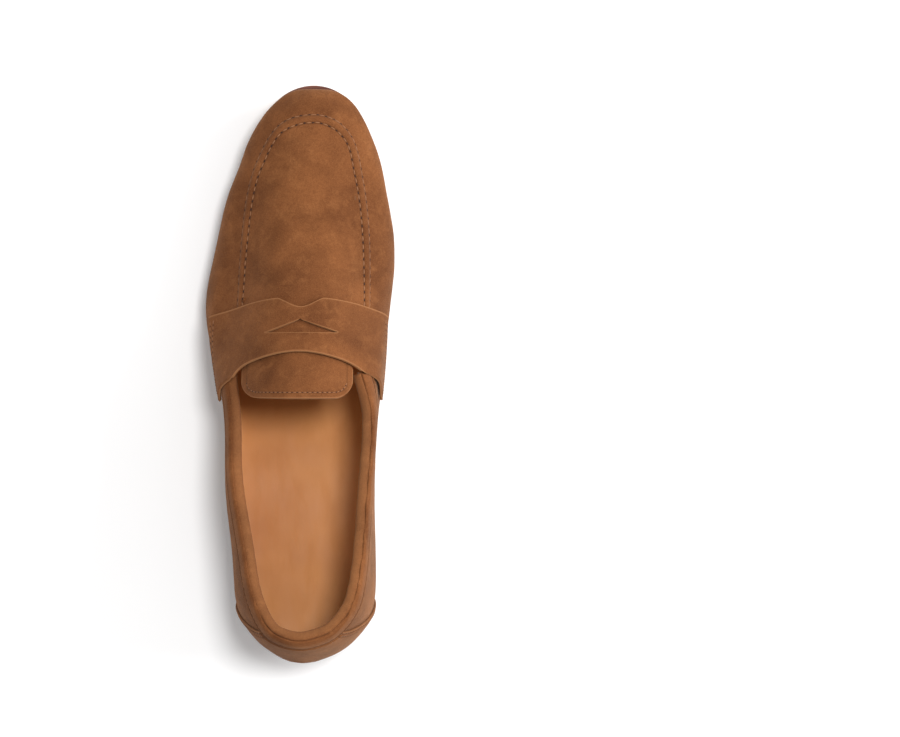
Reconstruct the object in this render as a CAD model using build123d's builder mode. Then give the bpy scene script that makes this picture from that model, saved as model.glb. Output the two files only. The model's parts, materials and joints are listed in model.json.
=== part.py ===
"""Penny loafer, left shoe, men's EU 42: suede uppers over a leather sole and a stacked heel.

Millimetres. +Z is up, +Y runs from heel to toe, +X is the medial (inner) side. The origin is on
the ground, in the middle of the shoe's length and width. Inside the outlines below, y is counted
from the back of the heel, and the planes SIDE, PLAN and cross_plane(y) put that zero in its place.
"""

import os
from functools import cache

from build123d import *

os.makedirs("parts", exist_ok=True)

# --- Driving dimensions ---------------------------------------------------------------------
SHOE_LENGTH = 300.0          # back of the heel to the tip of the upper
HALF_LENGTH = SHOE_LENGTH / 2
HEEL_Y = -HALF_LENGTH        # where the back of the heel stands in the shoe's own frame
WIDE = 80.0                  # half-width of any cutter, well outside the shoe
TALL = 150.0                 # height of any cutter, well above the shoe

SUEDE = 1.35                 # outer leather
LINING = 0.8                 # lining leather
STIFFENER = 0.9              # toe puff, heel counter and canvas interlining
GAP = 0.05                   # glue line between two layers
TONGUE_DROP = 0.35           # the tongue lies this far below the face of the upper
STRAP_LIFT = 1.5             # how far the strap arches off the instep

SOLE = 4.3                   # leather outsole
INSOLE = 2.3                 # insole board
SOCK = 0.8                   # sock lining
PAD = 1.2                    # foam pad under the heel of the sock lining
TONGUE_FLOOR = 45.0          # nothing of the tongue is lower than this
TONGUE_CORNER = 9.0          # radius of the tongue's corners
THROAT_FRONT = 167.0         # the apron ends and the tongue starts under the strap
PUFF_REAR = 262.0            # toe puff from here to the tip
COUNTER_FRONT = 76.0         # heel counter from the back to here
LINING_SEAM = 150.0          # quarter linings end and the vamp lining starts

LASTING_MARGIN = 15.0        # width of upper turned in under the insole board
TOP_PIECE = 2.9              # each of the two layers of the heel's top piece
TOP_PIECE_FACE = 2 * TOP_PIECE
RUBBER_REACH = 38.0          # rubber corner of the top piece, from the back of the heel
LIFTS = 3                    # leather lifts in the heel stack
HEEL_TOP = 26.0              # the heel block is drawn up to here and cut by the sole

# Layers of the upper, as depths below its outer face. Each pair is (outside, inside).
UPPER_LAYER = (GAP, GAP + SUEDE)
STIFF_LAYER = (UPPER_LAYER[1] + GAP, UPPER_LAYER[1] + GAP + STIFFENER)
LINING_LAYER = (STIFF_LAYER[1] + GAP, STIFF_LAYER[1] + GAP + LINING)
GRIP_LAYER = (LINING_LAYER[1] + GAP, LINING_LAYER[1] + GAP + LINING)
OVERLAY = (-SUEDE, 0.0)      # a second suede layer that lies on the first
STRAP_LAYER = (-SUEDE - 0.1, -0.1)
LAST_FACE = LINING_LAYER[1] + GAP

# Heights above the feather line, inside the shoe.
PAD_FACE = LAST_FACE + INSOLE + GAP + PAD
SOCK_FACE = PAD_FACE + GAP + SOCK
CLEAR_OF_SOLE = 20.0         # leaves a shell's top and drops its bottom
COLUMN_FLOOR = 30.0          # columns over the top of the shoe start here

# --- Planes ---------------------------------------------------------------------------------
SIDE = Plane(origin=(0, HEEL_Y, 0), x_dir=(0, 1, 0), z_dir=(1, 0, 0))
PLAN = Plane(origin=(0, HEEL_Y, 0))


def cross_plane(y):
    """Upright plane across the shoe, looking from the toe end, y from the back of the heel."""
    return Plane(origin=(0, HEEL_Y + y, 0), x_dir=(1, 0, 0), z_dir=(0, -1, 0))


# --- Outlines -------------------------------------------------------------------------------
# Feather line, where the upper meets the top of the outsole: (y, z).
FEATHER = [
    (-8, 29), (2, 25.6), (10, 22.6), (30, 20.6), (50, 20.5), (70, 20.2), (90, 19.3), (110, 15.9),
    (130, 11), (150, 6.9), (165, 5), (185, 4.3), (200, 4.3), (220, 5.3), (240, 7.3), (260, 10.2),
    (280, 13.8), (298, 18.4), (312, 22.6),
]

# Ribs of the upper's outer face: y, then (x, z) of the lateral feather, lateral bulge and
# lateral shoulder, the crown, and the medial shoulder, bulge and feather.
RIBS = [
    (0.3, (-2, 26), (-3.5, 45), (-1, 52), (2.5, 55), (6, 52), (8.5, 45), (7, 26)),
    (2, (-4, 27), (-8, 43), (-5.5, 54), (2.5, 60), (10.5, 54), (13.5, 43), (9, 27)),
    (5, (-10, 25), (-13, 42), (-10, 60), (2.6, 71), (16, 61), (20.4, 42), (16, 25)),
    (9, (-15, 23.4), (-18.5, 41), (-14, 68), (2.8, 86), (21, 69.5), (26.3, 41), (22, 23.4)),
    (14, (-20, 22), (-23.5, 40), (-15, 82), (3, 97.5), (21, 84), (31.4, 40), (28, 22)),
    (22, (-26, 21), (-29.7, 39), (-17, 88), (3.2, 106), (23.5, 94.5), (37.2, 39), (33.5, 21)),
    (34, (-30.5, 20.6), (-33.7, 38), (-21.8, 84.5), (3.5, 110), (30.5, 93), (40, 38), (37, 20.6)),
    (52, (-32, 20.5), (-34.9, 37), (-25.8, 79.5), (4, 112), (34, 90), (40.2, 37), (37, 20.5)),
    (78, (-34.5, 20), (-37.8, 36), (-30.4, 73.5), (4, 112), (36.3, 86), (39.7, 36), (36.5, 20)),
    (104, (-35, 17.2), (-39.1, 33), (-33.5, 68), (4, 110), (38.4, 81.7), (39.9, 33), (36, 17.2)),
    (126, (-36, 12), (-39.8, 29), (-34.2, 62.6), (3.8, 101), (39.3, 77.5), (41.2, 29), (36, 12)),
    (145, (-39, 7.8), (-43, 25), (-36.5, 57), (3.5, 91.5), (39, 66), (43.2, 25), (38, 7.8)),
    (165, (-44, 5), (-47.8, 22), (-36, 50), (3.2, 81), (39, 54), (45.2, 22), (40.5, 5)),
    (185, (-47, 4.3), (-50.4, 20), (-33.5, 44.5), (2.8, 71), (37.5, 46), (47.5, 20), (43, 4.3)),
    (210, (-44, 4.7), (-46.5, 19), (-30.3, 40), (3, 60), (36.2, 41.5), (49.8, 19), (46, 4.7)),
    (232, (-38.5, 6.4), (-41.7, 20), (-28.6, 36.6), (3.5, 52.8), (35.2, 38), (48, 20), (44.5, 6.4)),
    (252, (-32.5, 9), (-35.3, 21.5), (-24.4, 35.7), (4.5, 48.4), (33, 37), (44.3, 21.5), (41, 9)),
    (268, (-26.5, 11.6), (-29.3, 23), (-18.8, 36.6), (5.5, 45.3), (29.3, 37.5), (40.3, 23), (37, 11.6)),
    (280, (-20.5, 13.8), (-23.2, 25), (-11, 37.5), (6.5, 41.2), (23, 38), (35.4, 25), (32.5, 13.8)),
    (288, (-15, 15.6), (-17.5, 26), (-6.5, 36.2), (7, 38.4), (19.5, 36.5), (31, 26), (28, 15.6)),
    (293.5, (-9.5, 17), (-12, 26.5), (-3.5, 33.2), (7.5, 35.6), (17.5, 33.5), (26.5, 26.5), (23.5, 17)),
    (297, (-4.5, 18.6), (-6.8, 26.5), (-0.5, 30.8), (7.8, 32.6), (15.5, 31), (21.8, 26.5), (18.5, 18.6)),
    (299.3, (0.5, 18.8), (-1.5, 25), (2, 28.2), (8, 29), (12.5, 28.2), (15.5, 25), (13.5, 18.8)),
]
# How far round its rib each point of rib_points lies, the same on every rib.
RIB_SHARES = [0, 0.025, 0.1, 0.19, 0.27, 0.385, 0.5, 0.615, 0.73, 0.81, 0.9, 0.975, 1]

# Topline of the quarters, (y, z), on the lateral wall at x = -33 and the medial wall at x = 38.
TOPLINE_LATERAL = [
    (-6, 98), (12, 96.6), (24, 88.5), (58, 78), (82, 72.5), (111, 66.5), (132, 61), (162, 53),
]
TOPLINE_MEDIAL = [
    (-6, 98), (12, 97), (24, 95), (58, 89), (82, 85.5), (111, 80.5), (132, 76), (162, 69),
]
TOPLINE_X = (-33.0, 38.0)

# Plan outlines, (x, y), lateral side first, from the rear round the toe and back.
APRON_OUTER = [
    (-31, 150), (-30.6, 200), (-28.8, 228), (-25, 251), (-18.6, 267), (-9, 280.3), (4, 284.6),
    (18, 282.4), (26, 275), (32, 256), (35.4, 232), (36.4, 200), (36.6, 150),
]
APRON_INNER = [
    (-28, 150), (-27.7, 200), (-25, 226), (-20, 248), (-12, 269), (-5, 277.8), (4, 279.8),
    (14.5, 278.6), (22, 271.5), (27, 256), (30.3, 230), (32, 200), (32.4, 150),
]
THROAT = [(-33.5, 150), (-33, 158), (-24, 166), (3, 167), (27, 166), (36.5, 158), (37, 150)]
SOLE_OUTLINE = [
    (2.5, 0), (-13, 4.4), (-24, 14.5), (-31.6, 28), (-34, 52), (-36.3, 78), (-36.8, 104),
    (-37.8, 126), (-40.8, 145), (-45.8, 165), (-48.8, 186), (-45.8, 211), (-40.3, 232),
    (-34.3, 252), (-28.3, 267), (-21.5, 281.5), (-11, 295.4), (5, 301.8), (20, 298.4), (32, 285.4),
    (40, 264), (45.4, 239), (47.9, 212), (46.4, 194), (41.5, 165), (37.8, 126), (37.8, 104),
    (38.5, 65), (38.3, 38), (34.3, 21), (26, 9.4), (14, 2.4),
]
STRAP_FRONT = [
    (-60, 192), (-38, 188), (-29.2, 188.4), (-18, 189.5), (-9, 188.2), (3, 183.9), (13, 188),
    (24, 189.4), (36, 188.3), (60, 192),
]
STRAP_REAR = [
    (-60, 128), (-36.4, 142), (-29.8, 151.9), (-22.9, 155.8), (-12.8, 159.1), (4.5, 161),
    (16.7, 159), (26.2, 155.8), (34.4, 150.6), (41.7, 139.3), (60, 122),
]
PENNY_SLOT = [(-15.8, 170.4), (2.2, 177.4), (22.1, 170.6)]

TONGUE_OUTLINE = [(-28.5, 137), (-28.5, 152), (-17, 164), (20, 164), (29.4, 153), (29.4, 137)]
HEEL_SEAT = [
    (38, 90), (38.5, 62), (38.3, 38), (34.3, 21), (26, 9.4), (14, 2.4), (2.5, 0), (-13, 4.4),
    (-24, 14.5), (-31.6, 28), (-34, 52), (-36.2, 79),
]
HEEL_GROUND = [
    (35.4, 84), (36, 62), (35.8, 40), (32, 24), (24.4, 12.8), (13.6, 5.8), (2.5, 3.6), (-11.8, 7.6),
    (-21.8, 17), (-29, 29.5), (-31.6, 52), (-33.6, 79),
]
BREAST_SEAT, BREAST_GROUND = (1, 77.5), (1, 74.5)   # middle of the hollowed front of the heel

# Fasteners in the bottom, (x, y), and the shank.
NAIL_RADIUS, NAIL_POINT, NAIL_LENGTH = 1.0, 9.0, 16.0
NAIL_PLACES = [(2.5, 19.5), (-13, 33), (18, 33), (-15, 58), (20, 60)]
BRAD_RADIUS, BRAD_HEAD, BRAD_LENGTH = 0.8, 0.1, 8.0
BRAD_PLACES = [(2.5, 9), (-12, 13.5), (17, 12.5), (-22.5, 27), (27, 26), (-26.5, 48), (30.5, 48),
               (-28, 71), (30, 74)]
NAIL_FIT = 0.03
SHANK, SHANK_WIDTH, SHANK_X, SHANK_REAR, SHANK_FRONT = 1.0, 15.0, 1.5, 42.0, 152.0
SHANK_RISE = 0.3             # the shank lies this far off the outsole
FILLER_GAP = 1.0
PAD_INSET, PAD_FRONT, WAIST = 12.0, 62.0, 112.0
HEEL_CLEAR = 10.0            # how far a cutter starts behind the heel

# Side outlines, (y, z).
STRAP_SIDE = [
    (162, 100), (151, 74), (143, 57), (134.6, 41.6), (179, 36), (185.5, 58), (189.5, 75), (189.5, 100),
]
COUNTER_SIDE = [
    (-10, 0), (38, 0), (33.5, 20), (26.5, 41), (21.5, 55), (17.5, 77), (16, 110), (-10, 110),
]
COLLAR_WIDTH = 9.5           # the collar band's depth below the topline
TOP_FOLD = 1.2               # the collar band stands this far above the quarters' edge
COLLAR_FRONT = 149.0
RIM_LAP = 2.5                # the apron's rim and plug overlap by this much
GRIP_FRONT = 44.0            # suede heel grip inside the back of the shoe
GRIP_DROP = 12.0             # its top edge, below the topline
COUNTER_DROP = 13.0          # the heel counter's top edge, below the topline

# The sock lining's underside: over the pad at the heel, down to the insole board at the waist.
SOCK_CURVE = [
    (y, z + LAST_FACE + INSOLE + 2 * GAP + PAD * min(1, max(0, (WAIST - y) / (WAIST - PAD_FRONT))))
    for y, z in FEATHER
]


# --- The foot-shaped form that every layer of the upper is cut from --------------------------
def drawn_in(point, centre, depth):
    """The point moved towards the centre by depth, and by less where the rib is very small."""
    dx, dz = point[0] - centre[0], point[1] - centre[1]
    reach_squared = dx * dx + dz * dz
    ratio = 1 - depth * reach_squared**0.5 / (reach_squared + 40)
    return (centre[0] + dx * ratio, centre[1] + dz * ratio)


def rib_points(rib, depth, lift):
    """Outline of one rib, depth below the outer face, its arch raised by lift."""
    _, foot_l, bulge_l, shoulder_l, crown, shoulder_m, bulge_m, foot_m = rib
    centre = (crown[0], (bulge_l[1] + bulge_m[1]) / 2)

    def flank(bulge, shoulder):
        return (bulge[0] + 0.36 * (shoulder[0] - bulge[0]), bulge[1] + 0.6 * (shoulder[1] - bulge[1]))

    def haunch(shoulder):
        return ((shoulder[0] + crown[0]) / 2, shoulder[1] + 0.76 * (crown[1] - shoulder[1]))

    def skirt(foot, bulge):
        return (foot[0] + 0.8 * (foot[0] - bulge[0]), foot[1] - 6)

    low = [skirt(foot_l, bulge_l), foot_l, bulge_l]
    over = [flank(bulge_l, shoulder_l), shoulder_l, haunch(shoulder_l), crown]
    over += [haunch(shoulder_m), shoulder_m, flank(bulge_m, shoulder_m)]
    high = [bulge_m, foot_m, skirt(foot_m, bulge_m)]
    across = [(drawn_in((x, centre[1]), centre, depth)[0], z) for x, z in (low[0], low[1])]
    back = [(drawn_in((x, centre[1]), centre, depth)[0], z) for x, z in (high[1], high[2])]
    points = across + [drawn_in(low[2], centre, depth)]
    points += [drawn_in(p, centre, depth - lift) for p in over]
    return points + [drawn_in(high[0], centre, depth)] + back


@cache
def foot_form(depth, lift=0.0):
    """Everything inside the surface that lies depth below the upper's outer face."""
    with BuildPart() as form:
        for rib in RIBS:
            y = HALF_LENGTH + (rib[0] - HALF_LENGTH) * (1 - depth / HALF_LENGTH)
            points = rib_points(rib, depth, lift)
            with BuildSketch(cross_plane(y)):
                with BuildLine():
                    add(Edge.make_spline([Vector(*p) for p in points], parameters=RIB_SHARES))
                    Line(points[-1], points[0])
                make_face()
        loft()
        add(side_band(FEATHER, depth, TALL), mode=Mode.INTERSECT)
    return form.part


# --- Cutters --------------------------------------------------------------------------------
def side_band(curve, low, high):
    """Full-width slab whose lower face is the (y, z) curve raised by low, and upper by high."""
    with BuildPart() as band:
        with BuildSketch(SIDE):
            with BuildLine():
                lower = Spline(*[(y, z + low) for y, z in curve])
                upper = Spline(*[(y, z + high) for y, z in curve])
                Line(lower @ 0, upper @ 0)
                Line(lower @ 1, upper @ 1)
            make_face()
        extrude(amount=WIDE, both=True)
    return band.part


def topline_band(low, high):
    """Slab between the topline raised by low and by high, higher on the medial side."""
    left, right = TOPLINE_X
    with BuildPart() as band:
        for reach in (-WIDE, WIDE):
            share = (reach - left) / (right - left)
            curve = [
                (y, zl + share * (zm - zl))
                for (y, zl), (_, zm) in zip(TOPLINE_LATERAL, TOPLINE_MEDIAL)
            ]
            with BuildSketch(Plane(origin=(reach, HEEL_Y, 0), x_dir=(0, 1, 0), z_dir=(1, 0, 0))):
                with BuildLine():
                    lower = Spline(*[(y, z + low) for y, z in curve])
                    upper = Spline(*[(y, z + high) for y, z in curve])
                    Line(lower @ 0, upper @ 0)
                    Line(lower @ 1, upper @ 1)
                make_face()
        loft(ruled=True)
    return band.part


def moved_in(points, distance, closed):
    """The points of a clockwise (x, y) outline, each moved square to the outline, to its inside."""
    moved = []
    for i, (x, y) in enumerate(points):
        before = points[i - 1] if closed or i else points[i]
        after = points[(i + 1) % len(points)] if closed or i + 1 < len(points) else points[i]
        along = (Vector(*after) - Vector(*before)).normalized()
        moved.append((x + distance * along.Y, y - distance * along.X))
    return moved


def plan_column(curve, inset=0.0):
    """Upright column over a (x, y) curve, its ends joined by a straight line, above the sole."""
    with BuildPart() as column:
        with BuildSketch(PLAN.offset(COLUMN_FLOOR)):
            with BuildLine():
                edge = Spline(*moved_in(curve, inset, closed=False))
                Line(edge @ 1, edge @ 0)
            make_face()
        extrude(amount=TALL)
    return column.part


def sole_column(inset=0.0):
    """Upright column over the sole's outline, drawn in by inset."""
    with BuildPart() as column:
        with BuildSketch(PLAN):
            with BuildLine():
                Spline(*moved_in(SOLE_OUTLINE, inset, closed=True), periodic=True)
            make_face()
        extrude(amount=TALL)
    return column.part


def slab(y_from, y_to):
    """Everything between two distances from the back of the heel."""
    with BuildPart() as block:
        with BuildSketch(PLAN):
            with Locations((0, (y_from + y_to) / 2)):
                Rectangle(2 * WIDE, y_to - y_from)
        extrude(amount=TALL)
    return block.part


def level_slab(z_from, z_to):
    """Everything between two heights."""
    with BuildPart() as block:
        with BuildSketch(PLAN.offset(z_from)):
            Rectangle(2 * WIDE, 2 * SHOE_LENGTH)
        extrude(amount=z_to - z_from)
    return block.part


def nails(grow):
    """Heel nails, driven from the insole board through the sole into the stack."""
    with BuildPart() as group:
        with BuildSketch(PLAN.offset(NAIL_POINT)):
            with Locations(*NAIL_PLACES):
                Circle(NAIL_RADIUS + grow)
        extrude(amount=NAIL_LENGTH)
    return group.part


def brads(grow):
    """Short nails that hold the top piece to the lowest lift, their heads just off the ground."""
    with BuildPart() as group:
        with BuildSketch(PLAN.offset(BRAD_HEAD - grow)):
            with Locations(*BRAD_PLACES):
                Circle(BRAD_RADIUS + grow)
        extrude(amount=BRAD_LENGTH + 2 * grow)
    return group.part


def side_column(points):
    """Full-width block over a polygon of (y, z) points."""
    with BuildPart() as block:
        with BuildSketch(SIDE):
            with BuildLine():
                Polyline(*points, close=True)
            make_face()
        extrude(amount=WIDE, both=True)
    return block.part


def shell(layer, lift=0.0, keep=()):
    """One layer of the upper, kept inside each of the given blocks."""
    outside, inside = layer
    with BuildPart() as skin:
        add(foot_form(outside, lift))
        for block in keep:
            add(block, mode=Mode.INTERSECT)
        add(foot_form(inside, lift), mode=Mode.SUBTRACT)
    return skin.part


def save(piece, name):
    piece.part.label = name
    export_step(piece.part, f"parts/{name}.step")


above_topline = topline_band(0, TALL)
over_insole = side_band(FEATHER, CLEAR_OF_SOLE, TALL)
throat = plan_column(THROAT)
with BuildPart() as window:              # the middle of the bottom, inside the lasting margin
    add(sole_column(LASTING_MARGIN))
    add(side_band(FEATHER, -TALL, LAST_FACE), mode=Mode.INTERSECT)


# --- Uppers ---------------------------------------------------------------------------------
with BuildPart() as vamp:                # skirt and quarters in one piece, closed at the back
    add(shell(UPPER_LAYER))
    add(above_topline, mode=Mode.SUBTRACT)
    add(plan_column(APRON_INNER, inset=-GAP), mode=Mode.SUBTRACT)
    add(throat, mode=Mode.SUBTRACT)
    add(window.part, mode=Mode.SUBTRACT)
save(vamp, "vamp")

apron_reach = slab(THROAT_FRONT + GAP, SHOE_LENGTH)
with BuildPart() as apron_rim:           # laps over the edge of the vamp's skirt
    add(shell(OVERLAY, keep=[plan_column(APRON_OUTER), apron_reach, over_insole]))
    add(plan_column(APRON_INNER, inset=RIM_LAP), mode=Mode.SUBTRACT)
with BuildPart() as apron:               # plug, level with the skirt
    add(shell((0.0, UPPER_LAYER[1]), keep=[plan_column(APRON_INNER), apron_reach, over_insole]))
    add(apron_rim.part)
save(apron, "apron")

with BuildPart() as saddle_strap:        # lies on the vamp's sides and stands off the tongue
    with BuildSketch(PLAN):
        with BuildLine():
            front = Spline(*STRAP_FRONT)
            rear = Spline(*STRAP_REAR)
            Line(front @ 0, rear @ 0)
            Line(front @ 1, rear @ 1)
        make_face()
        with BuildLine():
            Polyline(*PENNY_SLOT, close=True)
        make_face(mode=Mode.SUBTRACT)
    extrude(amount=TALL)
    add(side_column(STRAP_SIDE), mode=Mode.INTERSECT)
    add(foot_form(STRAP_LAYER[0], STRAP_LIFT), mode=Mode.INTERSECT)
    add(foot_form(STRAP_LAYER[1], STRAP_LIFT), mode=Mode.SUBTRACT)
save(saddle_strap, "saddle_strap")


def tongue_layer(layer, trim):
    """One layer of the tongue, its edges drawn in by trim."""
    with BuildPart() as flap:
        with BuildSketch(PLAN.offset(TONGUE_FLOOR)) as outline:
            with BuildLine():
                Polyline(*TONGUE_OUTLINE, close=True)
            make_face()
            fillet(outline.vertices(), radius=TONGUE_CORNER)
            if trim:
                offset(amount=-trim)
        extrude(amount=TALL)
        add(foot_form(layer[0]), mode=Mode.INTERSECT)
        add(foot_form(layer[1]), mode=Mode.SUBTRACT)
    return flap


save(tongue_layer((TONGUE_DROP, TONGUE_DROP + SUEDE), 0), "tongue")
save(tongue_layer((TONGUE_DROP + SUEDE + GAP, TONGUE_DROP + SUEDE + GAP + LINING), 0.6), "tongue_lining")

with BuildPart() as collar_band:         # folded over the quarters' top edge
    add(foot_form(-SUEDE))
    add(topline_band(-COLLAR_WIDTH, TOP_FOLD), mode=Mode.INTERSECT)
    add(slab(-HEEL_CLEAR, COLLAR_FRONT), mode=Mode.INTERSECT)
    add(foot_form(LINING_LAYER[1]), mode=Mode.SUBTRACT)
    with_quarter = foot_form(0.0).intersect(topline_band(-TALL, GAP))
    add(with_quarter, mode=Mode.SUBTRACT)
    add(throat, mode=Mode.SUBTRACT)
save(collar_band, "collar_band")

with BuildPart() as heel_counter_cover:  # wraps the back below the collar band
    add(shell(OVERLAY, keep=[side_column(COUNTER_SIDE), side_band(FEATHER, GAP, TALL)]))
    add(topline_band(-COLLAR_WIDTH - GAP, TALL), mode=Mode.SUBTRACT)
save(heel_counter_cover, "heel_counter_cover")


# --- Linings and stiffeners -----------------------------------------------------------------
def lasted(layer, y_from, y_to, top):
    """A layer turned in under the insole board, between two distances from the heel."""
    with BuildPart() as piece:
        add(shell(layer, keep=[slab(y_from, y_to)]))
        add(topline_band(-top, TALL), mode=Mode.SUBTRACT)
        add(throat, mode=Mode.SUBTRACT)
        add(window.part, mode=Mode.SUBTRACT)
    return piece


save(lasted(LINING_LAYER, -HEEL_CLEAR, LINING_SEAM - GAP, 0), "quarter_lining")
save(lasted(LINING_LAYER, LINING_SEAM, SHOE_LENGTH, 0), "vamp_lining")
save(lasted(STIFF_LAYER, -HEEL_CLEAR, COUNTER_FRONT, COUNTER_DROP), "heel_counter")
save(lasted(STIFF_LAYER, COUNTER_FRONT + GAP, PUFF_REAR - GAP, 0), "canvas_interlining")
save(lasted(STIFF_LAYER, PUFF_REAR, SHOE_LENGTH, 0), "toe_puff")

with BuildPart() as heel_grip:           # suede patch that stops the heel slipping
    add(shell(GRIP_LAYER, keep=[slab(-HEEL_CLEAR, GRIP_FRONT)]))
    add(topline_band(-GRIP_DROP, TALL), mode=Mode.SUBTRACT)
    add(side_band(FEATHER, -TALL, SOCK_FACE + GAP), mode=Mode.SUBTRACT)
save(heel_grip, "heel_grip")


# --- Inside the bottom ----------------------------------------------------------------------
with BuildPart() as insole_board:
    add(foot_form(LAST_FACE))
    add(side_band(FEATHER, LAST_FACE, LAST_FACE + INSOLE), mode=Mode.INTERSECT)
    add(nails(NAIL_FIT), mode=Mode.SUBTRACT)
save(insole_board, "insole_board")

with BuildPart() as heel_pad:
    add(sole_column(PAD_INSET))
    add(slab(-HEEL_CLEAR, PAD_FRONT), mode=Mode.INTERSECT)
    add(side_band(FEATHER, LAST_FACE + INSOLE + GAP, PAD_FACE), mode=Mode.INTERSECT)
save(heel_pad, "heel_pad")

with BuildPart() as sock_lining:         # full length, over the pad at the heel
    add(foot_form(LAST_FACE))
    add(side_band(SOCK_CURVE, GAP, GAP + SOCK), mode=Mode.INTERSECT)
save(sock_lining, "sock_lining")

with BuildPart() as steel_shank:
    with BuildSketch(PLAN):
        with Locations((SHANK_X, (SHANK_REAR + SHANK_FRONT) / 2)):
            SlotOverall(SHANK_FRONT - SHANK_REAR, SHANK_WIDTH, rotation=90)
    extrude(amount=TALL)
    add(side_band(FEATHER, SHANK_RISE, SHANK_RISE + SHANK), mode=Mode.INTERSECT)
save(steel_shank, "steel_shank")

with BuildPart() as cork_filler:         # levels the forepart between the lasting margins
    add(sole_column(LASTING_MARGIN + FILLER_GAP))
    add(slab(SHANK_FRONT + FILLER_GAP, SHOE_LENGTH), mode=Mode.INTERSECT)
    add(side_band(FEATHER, GAP, LAST_FACE - GAP), mode=Mode.INTERSECT)
save(cork_filler, "cork_filler")


# --- Sole and heel --------------------------------------------------------------------------
with BuildPart() as outsole:
    add(sole_column())
    add(side_band(FEATHER, -SOLE, 0), mode=Mode.INTERSECT)
    add(nails(NAIL_FIT), mode=Mode.SUBTRACT)
save(outsole, "outsole")

with BuildPart() as heel_block:          # tapers to the ground, with a hollowed breast
    for level, curve, breast in ((0, HEEL_GROUND, BREAST_GROUND), (HEEL_TOP, HEEL_SEAT, BREAST_SEAT)):
        with BuildSketch(PLAN.offset(level)):
            with BuildLine():
                back = Spline(*curve)
                ThreePointArc(back @ 1, breast, back @ 0)
            make_face()
    loft()

for lift in range(LIFTS):
    lower, upper = (
        [(y, TOP_PIECE_FACE + (z - SOLE - TOP_PIECE_FACE) * step / LIFTS) for y, z in FEATHER]
        for step in (lift, lift + 1)
    )
    with BuildPart() as heel_lift:
        add(heel_block.part)
        add(side_band(lower, GAP, TALL), mode=Mode.INTERSECT)
        add(side_band(upper, -TALL, 0), mode=Mode.INTERSECT)
        add(nails(NAIL_FIT), mode=Mode.SUBTRACT)
        if lift == 0:
            add(brads(NAIL_FIT), mode=Mode.SUBTRACT)
    save(heel_lift, f"heel_lift_{lift + 1}")

with BuildPart() as insert_space:        # where the leather insert takes the rubber's place
    add(slab(RUBBER_REACH, HALF_LENGTH))
    add(level_slab(-1, TOP_PIECE + GAP), mode=Mode.INTERSECT)

with BuildPart() as rubber_top_piece:    # a thin layer all over and a thick corner at the back
    add(heel_block.part)
    add(level_slab(-1, TOP_PIECE_FACE), mode=Mode.INTERSECT)
    add(insert_space.part, mode=Mode.SUBTRACT)
    add(brads(NAIL_FIT), mode=Mode.SUBTRACT)
save(rubber_top_piece, "rubber_top_piece")

with BuildPart() as leather_top_piece:
    add(heel_block.part)
    add(slab(RUBBER_REACH + GAP, HALF_LENGTH), mode=Mode.INTERSECT)
    add(level_slab(-1, TOP_PIECE), mode=Mode.INTERSECT)
    add(brads(NAIL_FIT), mode=Mode.SUBTRACT)
save(leather_top_piece, "leather_top_piece")

with BuildPart() as heel_nails:
    add(nails(0))
save(heel_nails, "heel_nails")

with BuildPart() as top_piece_brads:
    add(brads(0))
save(top_piece_brads, "top_piece_brads")
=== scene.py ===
"""Penny loafer, left shoe: suede uppers, leather linings, leather sole and stacked heel.

Metres, in the shoe's own frame: +Z up, +Y towards the toe, +X the medial (inner) side.
The walls are measured round the shoe: "walk" runs from the back of the heel along the lateral
side, round the toe and back, and "up" runs up the wall from the sole.
"""

import json
import math
from bisect import bisect_right

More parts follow.
